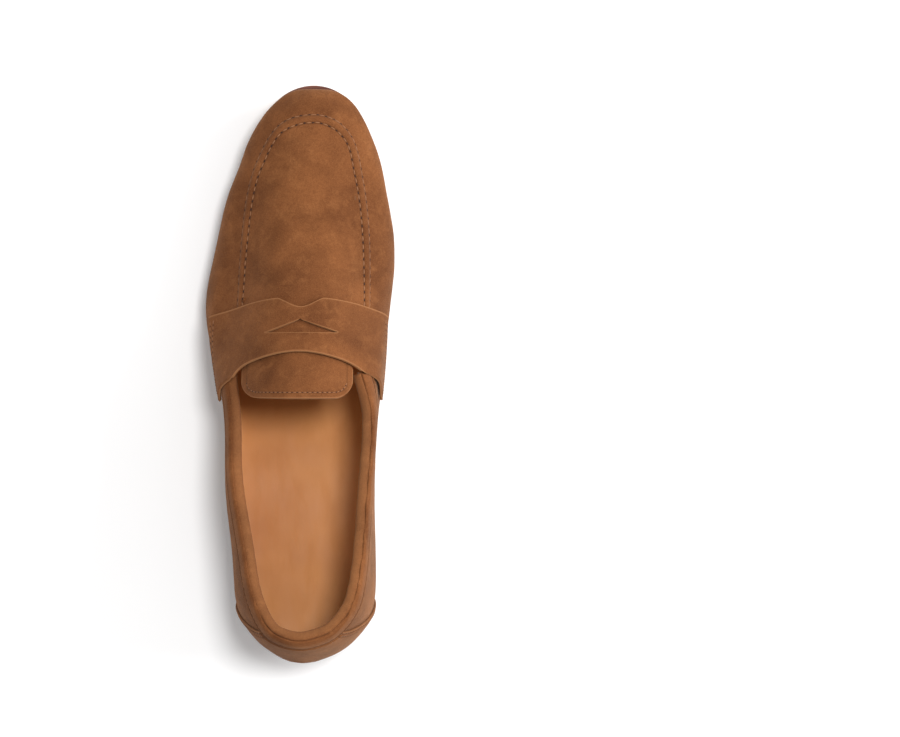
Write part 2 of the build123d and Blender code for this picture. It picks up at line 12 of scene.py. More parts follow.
import bmesh
import bpy
from mathutils import Matrix, Vector, noise
from mathutils.bvhtree import BVHTree
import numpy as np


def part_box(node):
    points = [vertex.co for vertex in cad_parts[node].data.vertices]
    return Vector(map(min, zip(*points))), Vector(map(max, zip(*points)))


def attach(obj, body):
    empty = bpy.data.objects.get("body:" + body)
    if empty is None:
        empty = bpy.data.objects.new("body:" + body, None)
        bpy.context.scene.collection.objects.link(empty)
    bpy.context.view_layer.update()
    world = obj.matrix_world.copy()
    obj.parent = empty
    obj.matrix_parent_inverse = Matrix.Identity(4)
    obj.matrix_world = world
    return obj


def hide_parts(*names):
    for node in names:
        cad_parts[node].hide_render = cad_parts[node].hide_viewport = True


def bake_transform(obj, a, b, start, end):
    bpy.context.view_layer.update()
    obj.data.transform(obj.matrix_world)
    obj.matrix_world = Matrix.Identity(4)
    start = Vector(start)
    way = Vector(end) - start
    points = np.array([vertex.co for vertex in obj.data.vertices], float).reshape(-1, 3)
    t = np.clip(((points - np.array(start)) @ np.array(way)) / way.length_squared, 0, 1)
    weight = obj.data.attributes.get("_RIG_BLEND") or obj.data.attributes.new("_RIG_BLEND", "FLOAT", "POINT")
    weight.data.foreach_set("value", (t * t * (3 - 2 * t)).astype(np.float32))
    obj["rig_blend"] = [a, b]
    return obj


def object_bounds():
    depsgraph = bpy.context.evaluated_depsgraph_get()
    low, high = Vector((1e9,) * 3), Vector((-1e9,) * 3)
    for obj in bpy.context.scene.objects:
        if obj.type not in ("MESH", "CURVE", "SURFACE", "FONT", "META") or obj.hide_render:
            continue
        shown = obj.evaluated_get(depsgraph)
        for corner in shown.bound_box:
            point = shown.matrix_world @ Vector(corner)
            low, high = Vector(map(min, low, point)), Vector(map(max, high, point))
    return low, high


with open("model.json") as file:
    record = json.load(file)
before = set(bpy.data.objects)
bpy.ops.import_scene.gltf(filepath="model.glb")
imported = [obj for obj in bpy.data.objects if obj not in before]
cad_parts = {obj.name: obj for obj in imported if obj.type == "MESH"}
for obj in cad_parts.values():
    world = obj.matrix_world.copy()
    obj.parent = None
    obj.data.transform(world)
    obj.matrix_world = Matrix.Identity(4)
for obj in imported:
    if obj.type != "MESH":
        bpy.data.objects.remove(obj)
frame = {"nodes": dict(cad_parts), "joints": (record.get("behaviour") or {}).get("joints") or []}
cad_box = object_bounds()

MM = 0.001
UP = Vector((0, 0, 1))
FAR = 0.2                      # rays start this far outside the shoe
START = math.radians(8)        # a ray at this slope from the spine meets every wall
SWEEP = math.radians(2)        # from one ray to the next
LEAP = 8 * MM                  # points further apart than this aren't on one wall
UNDERSIDE = -0.85              # a normal lower than this isn't on a wall

# --- Thicknesses and widths of the sewn work -------------------------------------------------
SUEDE = 1.3 * MM
COLLAR_SUEDE, COVER_SUEDE = 1.0 * MM, 1.15 * MM
LINING, SOCK_LINING = 0.75 * MM, 0.7 * MM
UPPER_INSIDE = 1.4 * MM        # the inner face of the vamp and apron, below their outer face
COLLAR_WIDTH = 9.5 * MM
COLLAR_TURN = 4.8 * MM         # the collar's suede goes this far down inside
COLLAR_LIFT = 1.25 * MM        # an overlay's face above the suede that it lies on
LINING_DEPTH = 3.2 * MM        # the lining's inner face, below the outer face of the quarters
CLEAR = 0.15 * MM
APRON_ROW, APRON_GAP = 0.55 * MM, 4.6 * MM      # outer stitch row, and the inner row from it
APRON_PITCH, FINE_PITCH = 4.35 * MM, 2.9 * MM


# --- Measuring the frame ---------------------------------------------------------------------
def skin_of(*names):
    """The faces of some CAD nodes, to be met by rays."""
    bm = bmesh.new()
    for name in names:
        bm.from_mesh(frame["nodes"][name].data)
    tree = BVHTree.FromBMesh(bm)
    bm.free()
    return tree


def plumb(tree, x, y, start=0.15, way=-1):
    """Where an upright ray at (x, y) meets the skin, going down from start, or up."""
    return tree.ray_cast(Vector((x, y, start)), UP * way)[0]


def limit(inside, there, outside):
    """The last value between there and outside for which inside is true."""
    for _ in range(14):
        middle = (there + outside) / 2
        if inside(middle):
            there = middle
        else:
            outside = middle
    return there


def lengths_along(points):
    total = [0.0]
    for a, b in zip(points, points[1:]):
        total.append(total[-1] + (b - a).length)
    return total


def point_along(points, total, distance):
    """The point at a distance along a line of points, and carried straight on past its ends."""
    i = min(max(bisect_right(total, distance) - 1, 0), len(points) - 2)
    share = (distance - total[i]) / max(total[i + 1] - total[i], 1e-9)
    return points[i].lerp(points[i + 1], share)


skins = {name: skin_of(name) for name in (
    "vamp", "apron", "saddle_strap", "tongue", "tongue_lining", "heel_counter_cover",
    "quarter_lining", "heel_grip", "sock_lining", "outsole")}

SPINE_X, SPINE_Z = 3 * MM, 32 * MM
HEEL_TURN = cad_box[0].y + 41 * MM       # the spine's ends, where the walls start to turn
TOE_TURN = cad_box[1].y - 40 * MM
HEEL_ARC, TOE_ARC = 57 * MM, 52 * MM
SIDE = TOE_TURN - HEEL_TURN
ROUND = 2 * (HEEL_ARC + SIDE + TOE_ARC)
COLUMNS, ROWS = 560, 56
DOWNMOST, UPMOST = -30, 40               # the rays tried, in sweeps from START


def station(walk):
    """A plane across the wall: its foot on the spine, and the way it looks out."""
    walk %= ROUND
    side = -1 if walk <= ROUND / 2 else 1
    reach = min(walk, ROUND - walk)
    if reach < HEEL_ARC:
        turn = reach / HEEL_ARC * math.pi / 2
        out = Vector((side * math.sin(turn), -math.cos(turn), 0))
        return Vector((SPINE_X, HEEL_TURN, SPINE_Z)), out
    if reach < HEEL_ARC + SIDE:
        return Vector((SPINE_X, HEEL_TURN + reach - HEEL_ARC, SPINE_Z)), Vector((side, 0, 0))
    turn = (reach - HEEL_ARC - SIDE) / TOE_ARC * math.pi / 2
    return Vector((SPINE_X, TOE_TURN, SPINE_Z)), Vector((side * math.cos(turn), math.sin(turn), 0))


def climb(walk, tree, floor, from_inside=False):
    """The line that a wall makes in its plane, from just over a floor up to the wall's edge."""
    foot, out = station(walk)

    def meet(angle, beside=None):
        ray = out * math.cos(angle) + UP * math.sin(angle)
        if from_inside:
            found = tree.ray_cast(foot, ray)[0]
        else:
            found, normal, _, _ = tree.ray_cast(foot + ray * FAR, -ray, FAR - 4 * MM)
            if found and normal.z < UNDERSIDE:
                return None
        if found and found.z > floor(found) and (not beside or (found - beside).length < LEAP):
            return found
        return None

    def climbed(angle, way):
        """The points from a sure angle to the wall's end, one way."""
        line = [meet(angle)]
        while True:
            for stride in (way * SWEEP, 2 * way * SWEEP):
                ahead = meet(angle + stride, line[-1])
                if ahead:
                    break
            else:
                end = limit(lambda a: meet(a, line[-1]), angle, angle + way * SWEEP)
                return line[1:] + [meet(end, line[-1])]
            angle += stride
            line.append(ahead)

    tried = [START + i * SWEEP for i in range(DOWNMOST, UPMOST)]
    sure = min((angle for angle in tried if meet(angle)), key=lambda angle: abs(angle - START))
    return climbed(sure, -1)[::-1] + [meet(sure)] + climbed(sure, 1)


def inward(point, distance):
    """A point moved in towards the spine, level."""
    foot = Vector((SPINE_X, min(max(point.y, HEEL_TURN), TOE_TURN), point.z))
    return point + (foot - point).normalized() * distance


def over_sole(point):
    under = inward(point, 6 * MM)
    top = plumb(skins["outsole"], under.x, under.y)
    return (top.z if top else 0.0) + CLEAR


def over_sock(point):
    under = inward(point, 2 * MM)
    top = plumb(skins["sock_lining"], under.x, under.y)
    return (top.z if top else 0.0) - 1.5 * MM


wall_lines = [climb(i / COLUMNS * ROUND, skins["vamp"], over_sole) for i in range(COLUMNS)]
wall_totals = [lengths_along(line) for line in wall_lines]


def between_columns(walk):
    column = walk / ROUND * COLUMNS
    i = math.floor(column)
    return i % COLUMNS, (i + 1) % COLUMNS, column - i


def wall_height(walk):
    i, j, share = between_columns(walk)
    return wall_totals[i][-1] * (1 - share) + wall_totals[j][-1] * share


def wall_point(walk, up):
    """A point on the outer face of the vamp and quarters."""
    i, j, share = between_columns(walk)
    part = up / wall_height(walk)
    here, there = (
        point_along(wall_lines[k], wall_totals[k], part * wall_totals[k][-1]) for k in (i, j)
    )
    return here.lerp(there, share)


def wall_normal(walk, up, step=2 * MM):
    across = wall_point(walk + step, up) - wall_point(walk - step, up)
    rise = wall_point(walk, up + step) - wall_point(walk, up - step)
    normal = across.cross(rise).normalized()
    return normal if normal.dot(station(walk)[1]) > -0.2 else -normal


def covered(tree, point, normal, depth=5 * MM):
    return tree.ray_cast(point + normal * depth, -normal, 2 * depth)[0] is not None


# --- Sheets of leather -----------------------------------------------------------------------
def sheet_mesh(columns, rows, place):
    """A grid put in place by place(across, up), shares from 0 to 1, which gives a point, how
    much painted shade it takes near a seam or where pieces meet, and how pale it is at a raw edge, partly
    the cut fibres and partly painted highlight."""
    bm = bmesh.new()
    bmesh.ops.create_grid(bm, x_segments=columns, y_segments=rows, size=0.5)
    seam_shade = bm.verts.layers.float.new("seam_shade")
    raw_and_highlight = bm.verts.layers.float.new("raw_and_highlight")
    for vert in bm.verts:
        vert.co, vert[seam_shade], vert[raw_and_highlight] = place(vert.co.x + 0.5, vert.co.y + 0.5)
    return bm


def eased(bm, times):
    """Smooths the inside of a sheet and leaves its edges alone."""
    inner = [v for v in bm.verts if not v.is_boundary]
    for _ in range(times):
        bmesh.ops.smooth_vert(
            bm, verts=inner, factor=0.5, use_axis_x=True, use_axis_y=True, use_axis_z=True
        )


def turned(bm, away_from=None, towards=None):
    """Makes a sheet's faces look away from a point, or towards it."""
    bmesh.ops.remove_doubles(bm, verts=bm.verts, dist=0.02 * MM)
    bmesh.ops.dissolve_degenerate(bm, dist=0.002 * MM, edges=bm.edges)
    bmesh.ops.recalc_face_normals(bm, faces=bm.faces)
    point = away_from or towards
    votes = sum((f.calc_center_median() - point).dot(f.normal) * f.calc_area() for f in bm.faces)
    if (votes < 0) == (away_from is not None):
        bmesh.ops.reverse_faces(bm, faces=bm.faces)


def piece(name, bm, material, thickness=0.0, round_edge=0.0):
    """An object from a bmesh, with its thickness under the face that shows."""
    mesh = bpy.data.meshes.new(name)
    bm.to_mesh(mesh)
    bm.free()
    for polygon in mesh.polygons:
        polygon.use_smooth = True
    mesh.materials.append(material)
    made = bpy.data.objects.new(name, mesh)
    bpy.context.scene.collection.objects.link(made)
    if thickness:
        solid = made.modifiers.new("thickness", "SOLIDIFY")
        solid.thickness = thickness
        solid.offset = -1
        solid.use_even_offset = False
    if round_edge:
        bevel = made.modifiers.new("edge", "BEVEL")
        bevel.width = round_edge
        bevel.segments = 2
        bevel.limit_method = "ANGLE"
        bevel.angle_limit = math.radians(55)
        bevel.use_clamp_overlap = True
    return made


def worn(made, body, slot, *replaced):
    """Puts a piece on its body and hides the CAD nodes that it stands for; the slot for its finish is not
    used.
    """
    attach(made, body)
    if replaced:
        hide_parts(*replaced)


def bump_of(distance, middle, width):
    """1 at the middle of a seam or stitch row, falling to 0 at its sides."""
    return math.exp(-((distance - middle) / width) ** 2)


def step_up(distance, width):
    """From 0 at an edge to 1 a width inside it, rounded like a folded or cut edge."""
    share = min(max(distance / width, 0), 1)
    return math.sin(share * math.pi / 2) ** 0.7


# --- Materials -------------------------------------------------------------------------------
def new_material(name):
    material = bpy.data.materials.new(name)
    material.use_nodes = True
    tree = material.node_tree
    shader = tree.nodes["Principled BSDF"]
    return material, tree, shader


def add_node(tree, kind, inputs=(), **settings):
    made = tree.nodes.new(kind)
    for key, value in settings.items():
        setattr(made, key, value)
    for key, value in dict(inputs).items():
        if isinstance(value, bpy.types.NodeSocket):
            tree.links.new(value, made.inputs[key])
        else:
            made.inputs[key].default_value = value
    return made


def grain(tree, scale, detail=3.0, roughness=0.55, stretch=None, distortion=0.0):
    """Noise in the piece's own coordinates, scale in waves per metre."""
    place = add_node(tree, "ShaderNodeTexCoord").outputs["Object"]
    if stretch:
        place = add_node(tree, "ShaderNodeMapping", {"Vector": place, "Scale": stretch}).outputs[0]
    return add_node(tree, "ShaderNodeTexNoise", {
        "Vector": place, "Scale": scale, "Detail": detail, "Roughness": roughness,
        "Distortion": distortion}).outputs["Fac"]


def sloped(tree, value, low, high, to_low=0.0, to_high=1.0):
    return add_node(tree, "ShaderNodeMapRange", {
        "Value": value, "From Min": low, "From Max": high, "To Min": to_low, "To Max": to_high,
    }).outputs[0]


def mixed(tree, share, first, second, blend_type="MIX"):
    made = add_node(tree, "ShaderNodeMix", data_type="RGBA", blend_type=blend_type)
    for socket, value in ((0, share), (6, first), (7, second)):
        if isinstance(value, bpy.types.NodeSocket):
            tree.links.new(value, made.inputs[socket])
        else:
            made.inputs[socket].default_value = value
    return made.outputs[2]


def bumped(tree, shader, height, distance, strength=1.0, under=None):
    made = add_node(tree, "ShaderNodeBump", {
        "Height": height, "Distance": distance, "Strength": strength})
    if under:
        tree.links.new(under, made.inputs["Normal"])
    tree.links.new(made.outputs[0], shader.inputs["Normal"])
    return made.outputs[0]


def own_value(tree, name):
    made = add_node(tree, "ShaderNodeAttribute", attribute_name=name, attribute_type="GEOMETRY")
    return made.outputs["Fac"]


def suede(name, dark, middle, light, raw_edge_and_highlight):
    """Brushed nap: broad clouds, hand marks, a short soft grain, painted shade by seams and paler cut edges,
    partly painted highlight.
    """
    material, tree, shader = new_material(name)
    clouds = grain(tree, 34, 3, 0.55, distortion=0.3)
    marks = grain(tree, 120, 4, 0.6, distortion=0.5)
    nap = grain(tree, 620, 4, 0.7)
    fibre = grain(tree, 2600, 3, 0.65)
    colour = mixed(tree, sloped(tree, clouds, 0.36, 0.64), dark, middle)
    colour = mixed(tree, sloped(tree, marks, 0.50, 0.74, 0.0, 0.45), colour, light)
    colour = mixed(tree, sloped(tree, nap, 0.46, 0.66, 0.0, 0.42), colour, dark)
    colour = mixed(tree, sloped(tree, fibre, 0.46, 0.68, 0.0, 0.45), colour, light)
    colour = mixed(tree, sloped(tree, fibre, 0.50, 0.32, 0.0, 0.45), colour, dark)
    # Painted shade: darker in the grooves of stitch rows and where one piece lies on another.
    shade = sloped(tree, own_value(tree, "seam_shade"), 0, 1, 1.0, 0.42)
    grey = add_node(tree, "ShaderNodeCombineColor", {0: shade, 1: shade, 2: shade}).outputs[0]
    colour = mixed(tree, 1.0, colour, grey, "MULTIPLY")
    # Paler at cut edges and on the crown of the rolled collar: partly the raw fibres, partly painted
    # highlight.
    colour = mixed(tree, own_value(tree, "raw_and_highlight"), colour, raw_edge_and_highlight)
    tree.links.new(colour, shader.inputs["Base Color"])
    shader.inputs["Roughness"].default_value = 0.95
    shader.inputs["Specular IOR Level"].default_value = 0.12
    shader.inputs["Sheen Weight"].default_value = 0.16
    shader.inputs["Sheen Roughness"].default_value = 0.4
    shader.inputs["Sheen Tint"].default_value = (0.95, 0.62, 0.38, 1)
    soft = bumped(tree, shader, marks, 0.35 * MM, 0.3)
    soft = bumped(tree, shader, nap, 0.30 * MM, 0.8, soft)
    bumped(tree, shader, fibre, 0.10 * MM, 0.9, soft)
    return material


def smooth_leather(name, dark, light, roughness):
    """Vegetable-tanned leather: fine pores, faint creases and a tone that wanders."""
    material, tree, shader = new_material(name)
    clouds = grain(tree, 22, 3, 0.5)
    streaks = grain(tree, 160, 3, 0.6, stretch=(1.0, 0.25, 1.0))
    pore = grain(tree, 2600, 2, 0.5)
    colour = mixed(tree, sloped(tree, clouds, 0.32, 0.68), dark, light)
    colour = mixed(tree, sloped(tree, streaks, 0.5, 0.8, 0.0, 0.35), colour, dark)
    colour = mixed(tree, sloped(tree, pore, 0.55, 0.75, 0.0, 0.3), colour, dark)
    tree.links.new(colour, shader.inputs["Base Color"])
    tree.links.new(sloped(tree, streaks, 0.2, 0.8, roughness - 0.06, roughness + 0.1),
                   shader.inputs["Roughness"])
    shader.inputs["Coat Weight"].default_value = 0.03
    shader.inputs["Coat Roughness"].default_value = 0.35
    soft = bumped(tree, shader, streaks, 0.12 * MM, 0.4)
    bumped(tree, shader, pore, 0.05 * MM, 0.6, soft)
    return material


def sole_leather():
    """Burnished edge, natural underside: told apart by which way the face looks."""
    material, tree, shader = new_material("sole_leather")
    clouds = grain(tree, 40, 4, 0.6)
    layers = grain(tree, 300, 3, 0.6, stretch=(0.12, 0.12, 3.0))
    fibre = grain(tree, 1500, 3, 0.6)
    edge = mixed(tree, sloped(tree, layers, 0.35, 0.65),
                 (0.10, 0.035, 0.025, 1), (0.21, 0.083, 0.058, 1))
    edge = mixed(tree, sloped(tree, clouds, 0.4, 0.7, 0.0, 0.5), edge, (0.26, 0.115, 0.082, 1))
    under = mixed(tree, sloped(tree, clouds, 0.3, 0.7),
                  (0.44, 0.24, 0.115, 1), (0.56, 0.33, 0.17, 1))
    under = mixed(tree, sloped(tree, fibre, 0.5, 0.75, 0.0, 0.4), under, (0.34, 0.18, 0.085, 1))
    normal = add_node(tree, "ShaderNodeTexCoord").outputs["Normal"]
    height = add_node(tree, "ShaderNodeSeparateXYZ", {0: normal}).outputs["Z"]
    downward = sloped(tree, height, -0.75, -0.85)
    tree.links.new(mixed(tree, downward, edge, under), shader.inputs["Base Color"])
    tree.links.new(sloped(tree, height, -0.85, -0.75, 0.6, 0.34), shader.inputs["Roughness"])
    shader.inputs["Coat Weight"].default_value = 0.15
    shader.inputs["Coat Roughness"].default_value = 0.3
    soft = bumped(tree, shader, layers, 0.12 * MM, 0.5)
    bumped(tree, shader, fibre, 0.06 * MM, 0.5, soft)
    return material


def stacked_leather():
    """Waxed lifts, with a tone that runs level, along their layers."""
    material, tree, shader = new_material("stacked_leather")
    layers = grain(tree, 260, 4, 0.65, stretch=(0.10, 0.10, 2.6))
    clouds = grain(tree, 60, 3, 0.6)
    colour = mixed(tree, sloped(tree, layers, 0.3, 0.7),
                   (0.075, 0.022, 0.016, 1), (0.175, 0.058, 0.042, 1))
    colour = mixed(tree, sloped(tree, clouds, 0.45, 0.75, 0.0, 0.6), colour, (0.24, 0.085, 0.06, 1))
    tree.links.new(colour, shader.inputs["Base Color"])
    tree.links.new(sloped(tree, layers, 0.2, 0.8, 0.26, 0.44), shader.inputs["Roughness"])
    shader.inputs["Coat Weight"].default_value = 0.35
    shader.inputs["Coat Roughness"].default_value = 0.22
    bumped(tree, shader, layers, 0.15 * MM, 0.6)
    return material


def plain(name, dark, light, roughness, scale, bump, metallic=0.0, detail=3.0):
    """A simple finish with a tone that wanders and a fine texture."""
    material, tree, shader = new_material(name)
    tone = grain(tree, scale, detail, 0.6)
    colour = mixed(tree, sloped(tree, tone, 0.35, 0.65), dark, light)
    tree.links.new(colour, shader.inputs["Base Color"])
    tree.links.new(sloped(tree, tone, 0.2, 0.8, roughness - 0.08, roughness + 0.08),
                   shader.inputs["Roughness"])
    shader.inputs["Metallic"].default_value = metallic
    bumped(tree, shader, tone, bump, 0.7)
    return material


# The last colour is the pale of cut edges, partly painted highlight.
SUEDE_BROWN = suede("suede", (0.105, 0.034, 0.011, 1), (0.205, 0.073, 0.024, 1),
                    (0.290, 0.115, 0.040, 1), (0.37, 0.17, 0.070, 1))
TAN = smooth_leather("lining_leather", (0.48, 0.175, 0.036, 1), (0.60, 0.240, 0.055, 1), 0.55)
SOLE_LEATHER = sole_leather()
HEEL_LEATHER = stacked_leather()
RUBBER = plain("heel_rubber", (0.016, 0.017, 0.019, 1), (0.032, 0.034, 0.038, 1), 0.5, 900, 0.05 * MM)
EDGE_INK = plain("edge_ink", (0.010, 0.008, 0.008, 1), (0.022, 0.017, 0.016, 1), 0.35, 700, 0.03 * MM)
THREAD = plain("thread", (0.21, 0.085, 0.032, 1), (0.30, 0.13, 0.052, 1), 0.75, 3000, 0.05 * MM)
PALE_THREAD = plain("pale_thread", (0.44, 0.24, 0.11, 1), (0.56, 0.33, 0.17, 1), 0.7, 3000, 0.05 * MM)
# Painted shade: near-black dots stand for the shade inside the needle holes.
HOLE_SHADE = plain("needle_hole_shade", (0.028, 0.010, 0.005, 1), (0.045, 0.016, 0.008, 1), 0.95, 2500, 0.03 * MM)
BOARD = plain("fibreboard", (0.24, 0.165, 0.105, 1), (0.34, 0.245, 0.16, 1), 0.85, 1400, 0.08 * MM)
CANVAS = plain("canvas", (0.10, 0.042, 0.018, 1), (0.17, 0.075, 0.032, 1), 0.9, 1800, 0.1 * MM)
FOAM = plain("foam", (0.60, 0.54, 0.38, 1), (0.70, 0.64, 0.47, 1), 0.85, 2200, 0.12 * MM)
CORK = plain("cork", (0.30, 0.17, 0.075, 1), (0.52, 0.33, 0.17, 1), 0.85, 420, 0.25 * MM, detail=6.0)
STEEL = plain("spring_steel", (0.36, 0.36, 0.37, 1), (0.50, 0.50, 0.51, 1), 0.32, 500, 0.01 * MM, 1.0)
BRASS = plain("brass", (0.52, 0.34, 0.11, 1), (0.66, 0.46, 0.18, 1), 0.3, 900, 0.01 * MM, 1.0)


# --- Stitching -------------------------------------------------------------------------------
STITCH_SINK = 0.10                       # of its width, into the leather
FINE = dict(pitch=FINE_PITCH, length=2.0 * MM, width=0.55 * MM, thread=THREAD, hole_shade=0.42 * MM)


def bead(bm, row, total, distance, span, size, sink=0.0):
    """A small rounded body on a row of (point, normal), pointing the way the row goes."""
    points = [point for point, _ in row]
    k = min(bisect_right(total, distance) - 1, len(points) - 2)
    here = point_along(points, total, distance)
    ahead = point_along(points, total, distance + span / 2)
    along = (ahead - point_along(points, total, distance - span / 2)).normalized()
    across = row[k][1].normalized().cross(along).normalized()
    out = along.cross(across).normalized()
    turn = Matrix((along, across, out)).transposed().to_4x4()
    place = Matrix.Translation(here - out * sink) @ turn @ Matrix.Diagonal((*size, 1.0))
    bmesh.ops.create_uvsphere(bm, u_segments=8, v_segments=5, radius=1.0, matrix=place)


def sewn(name, rows, pitch, length, width, thread, hole_shade=None, body="shoe"):
    """Rows of stitches, each a line of (point, normal), with near-black dots of painted shade for the needle
    holes between if asked.
    """
    stitches, hole_shades = bmesh.new(), bmesh.new()
    for row in rows:
        total = lengths_along([point for point, _ in row])
        count = max(int(total[-1] / pitch), 1)
        for i in range(count):
            bead(stitches, row, total, (i + 0.5) / count * total[-1], length,
                 (length / 2, width / 2, width / 2), STITCH_SINK * width)
            if hole_shade:
                bead(hole_shades, row, total, i / count * total[-1], length,
                     (hole_shade, hole_shade * 0.8, hole_shade * 0.5))
    made = [piece(name, stitches, thread)]
    if hole_shade:
        made.append(piece(name + "_hole_shades", hole_shades, HOLE_SHADE))
    else:
        hole_shades.free()
    for thing in made:
        if body:
            worn(thing, body, "suede")
    return made


# --- Vamp and quarters -----------------------------------------------------------------------
STRAP_BOX, COLLAR_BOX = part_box("saddle_strap"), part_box("collar_band")
COLLAR_REACH = HEEL_ARC + COLLAR_BOX[1].y - HEEL_TURN       # walk to the collar's front ends
SOFTNESS = 0.12 * MM                     # how far the suede swells and sinks, unevenly


def vamp_place(across, up):
    i = round(across * COLUMNS) % COLUMNS
    from_sole = up * wall_totals[i][-1]
    point = point_along(wall_lines[i], wall_totals[i], from_sole)
    # Painted shade along the foot of the wall, where it meets the sole.
    return point, 0.75 * bump_of(from_sole, 0, 1.6 * MM), 0.0


bm = sheet_mesh(COLUMNS, ROWS, vamp_place)
turned(bm, away_from=Vector((SPINE_X, 0, SPINE_Z)))
eased(bm, 3)
bm.normal_update()
for vert in bm.verts:
    ripple = noise.noise(vert.co * 60) + 0.5 * noise.noise(vert.co * 150)
    if not vert.is_boundary:
        vert.co += vert.normal * ripple * SOFTNESS
worn(piece("vamp_suede", bm, SUEDE_BROWN, SUEDE), "shoe", "suede", "vamp")


# --- Collar band -----------------------------------------------------------------------------
COLLAR_ROW = 1.7 * MM                    # its stitch row, from the lower edge
ROLL = (COLLAR_LIFT + LINING_DEPTH + 0.9 * MM) / 2          # half the width of the rolled top
ROLL_HEIGHT = 1.8 * MM
NEAR_TOP = 3 * MM                        # the wall's direction here, below the topline, is the collar's
COLLAR_COLUMNS, ROLL_STEPS, TURN_STEPS = 300, 12, 7
collar_section = [                       # its outer face: below the topline, share of its lift
    (COLLAR_WIDTH, 0.0), (COLLAR_WIDTH - 0.05 * MM, 0.6), (COLLAR_WIDTH - 0.4 * MM, 0.95),
    *((COLLAR_WIDTH - (0.8 + 0.45 * i) * MM, 1.0) for i in range(20)),
]
COLLAR_ROWS = len(collar_section) + ROLL_STEPS + TURN_STEPS


def collar_place(across, up):
    """Up the outer face, over the rolled top and down inside."""
    walk = (2 * across - 1) * COLLAR_REACH
    index = round(up * COLLAR_ROWS)
    height = wall_height(walk)
    normal = wall_normal(walk, height - NEAR_TOP)
    if index < len(collar_section):
        down, share = collar_section[index]
        from_edge = COLLAR_WIDTH - down
        dip = bump_of(from_edge, COLLAR_ROW, 0.55 * MM)
        lift = COLLAR_LIFT * share - 0.45 * MM * dip
        # Painted shade in the stitch groove and along the lower edge, where the collar lies on the quarters.
        near = max(dip, 0.8 * bump_of(from_edge, 0, 0.35 * MM))
        return wall_point(walk, height - down) + wall_normal(walk, height - down) * lift, near, 0.0
    index -= len(collar_section)
    if index <= ROLL_STEPS:
        turn = index / ROLL_STEPS * math.pi
        rise = (wall_point(walk, height) - wall_point(walk, height - NEAR_TOP)).normalized()
        top = wall_point(walk, height) + normal * (COLLAR_LIFT - ROLL + ROLL * math.cos(turn))
        # Painted highlight: paler along the crown of the rolled top.
        return top + rise * ROLL_HEIGHT * math.sin(turn), 0.0, 0.22 * math.sin(turn)
    inside = (index - ROLL_STEPS) / TURN_STEPS
    depth = COLLAR_LIFT - 2 * ROLL + (0.85 * MM if inside == 1 else 0)
    point = wall_point(walk, height - inside * COLLAR_TURN)
    # Painted shade at the lower end of the inside turn.
    return point + normal * depth, 0.5 * bump_of(inside, 1, 0.15), 0.0


bm = sheet_mesh(COLLAR_COLUMNS, COLLAR_ROWS, collar_place)
turned(bm, away_from=Vector((SPINE_X, -40 * MM, 40 * MM)))
if max(bm.faces, key=lambda f: f.calc_center_median().z).normal.z < 0:
    bmesh.ops.reverse_faces(bm, faces=bm.faces)      # the rolled top looks up
eased(bm, 1)
worn(piece("collar_suede", bm, SUEDE_BROWN, COLLAR_SUEDE), "shoe", "suede", "collar_band")


def collar_line(down, lift):
    """A line along the collar, a distance below the topline and a lift off the quarters."""
    line = []
    steps = 400
    for i in range(steps + 1):
        walk = (2 * i / steps - 1) * (COLLAR_REACH - 4 * MM)
        height = wall_height(walk)
        normal = wall_normal(walk, height - NEAR_TOP)
        line.append((wall_point(walk, height - down) + normal * lift, normal * (1 if lift > 0 else -1)))
    return line


sewn("collar_stitching", [collar_line(COLLAR_WIDTH - COLLAR_ROW, COLLAR_LIFT - 0.42 * MM)],
     **FINE)
sewn("collar_inside_stitching",
     [collar_line(COLLAR_TURN - 1.3 * MM, COLLAR_LIFT - 2 * ROLL + 0.03 * MM)],
     FINE_PITCH, 1.9 * MM, 0.5 * MM, PALE_THREAD)


# --- Counter cover round the back ------------------------------------------------------------
def cover_edge(side, up):
    """How far the cover reaches round the wall at a height, to one side."""
    def on_cover(walk):
        up_here = up * (wall_height(side * walk) - COLLAR_WIDTH)
        point = wall_point(side * walk, up_here)
        return covered(skins["heel_counter_cover"], point, wall_normal(side * walk, up_here))
    return limit(on_cover, 15 * MM, 110 * MM)


COVER_COLUMNS, COVER_ROWS = 170, 60
COVER_SEWING = 1.7 * MM, 4.3 * MM        # its two stitch rows, from its edge
cover_edges = {
    side: [cover_edge(side, 0.03 + 0.94 * i / COVER_ROWS) for i in range(COVER_ROWS + 1)]
    for side in (-1, 1)
}
for side in (-1, 1):                     # the cut edge is one fair line
    for _ in range(3):
        line = cover_edges[side]
        cover_edges[side] = [line[0]] + [
            (a + b + c) / 3 for a, b, c in zip(line, line[1:], line[2:])] + [line[-1]]


def cover_place(across, up):
    row = round(up * COVER_ROWS)
    lateral, medial = cover_edges[1][row], cover_edges[-1][row]
    share = across - 0.9 * math.sin(2 * math.pi * across) / (2 * math.pi)
    walk = -medial + (medial + lateral) * share
    height = wall_height(walk) - COLLAR_WIDTH - 0.1 * MM
    from_edge = min(share, 1 - share) * (medial + lateral)
    dip = max(bump_of(from_edge, row, 0.45 * MM) for row in COVER_SEWING)
    swell = bump_of(from_edge, sum(COVER_SEWING) / 2, 0.9 * MM)
    raised = COLLAR_LIFT * step_up(from_edge, 0.7 * MM) - 0.35 * MM * dip + 0.25 * MM * swell
    # Painted shade in the stitch grooves and along the cut edge, where the cover lies on the quarters.
    near = max(0.85 * dip, 0.7 * bump_of(from_edge, 0, 0.3 * MM))
    point = wall_point(walk, up * height) + wall_normal(walk, up * height) * raised
    # Paler just inside the rounded cut edge: partly the raw fibres, partly painted highlight.
    return point, near, 0.35 * bump_of(from_edge, 0.5 * MM, 0.25 * MM)


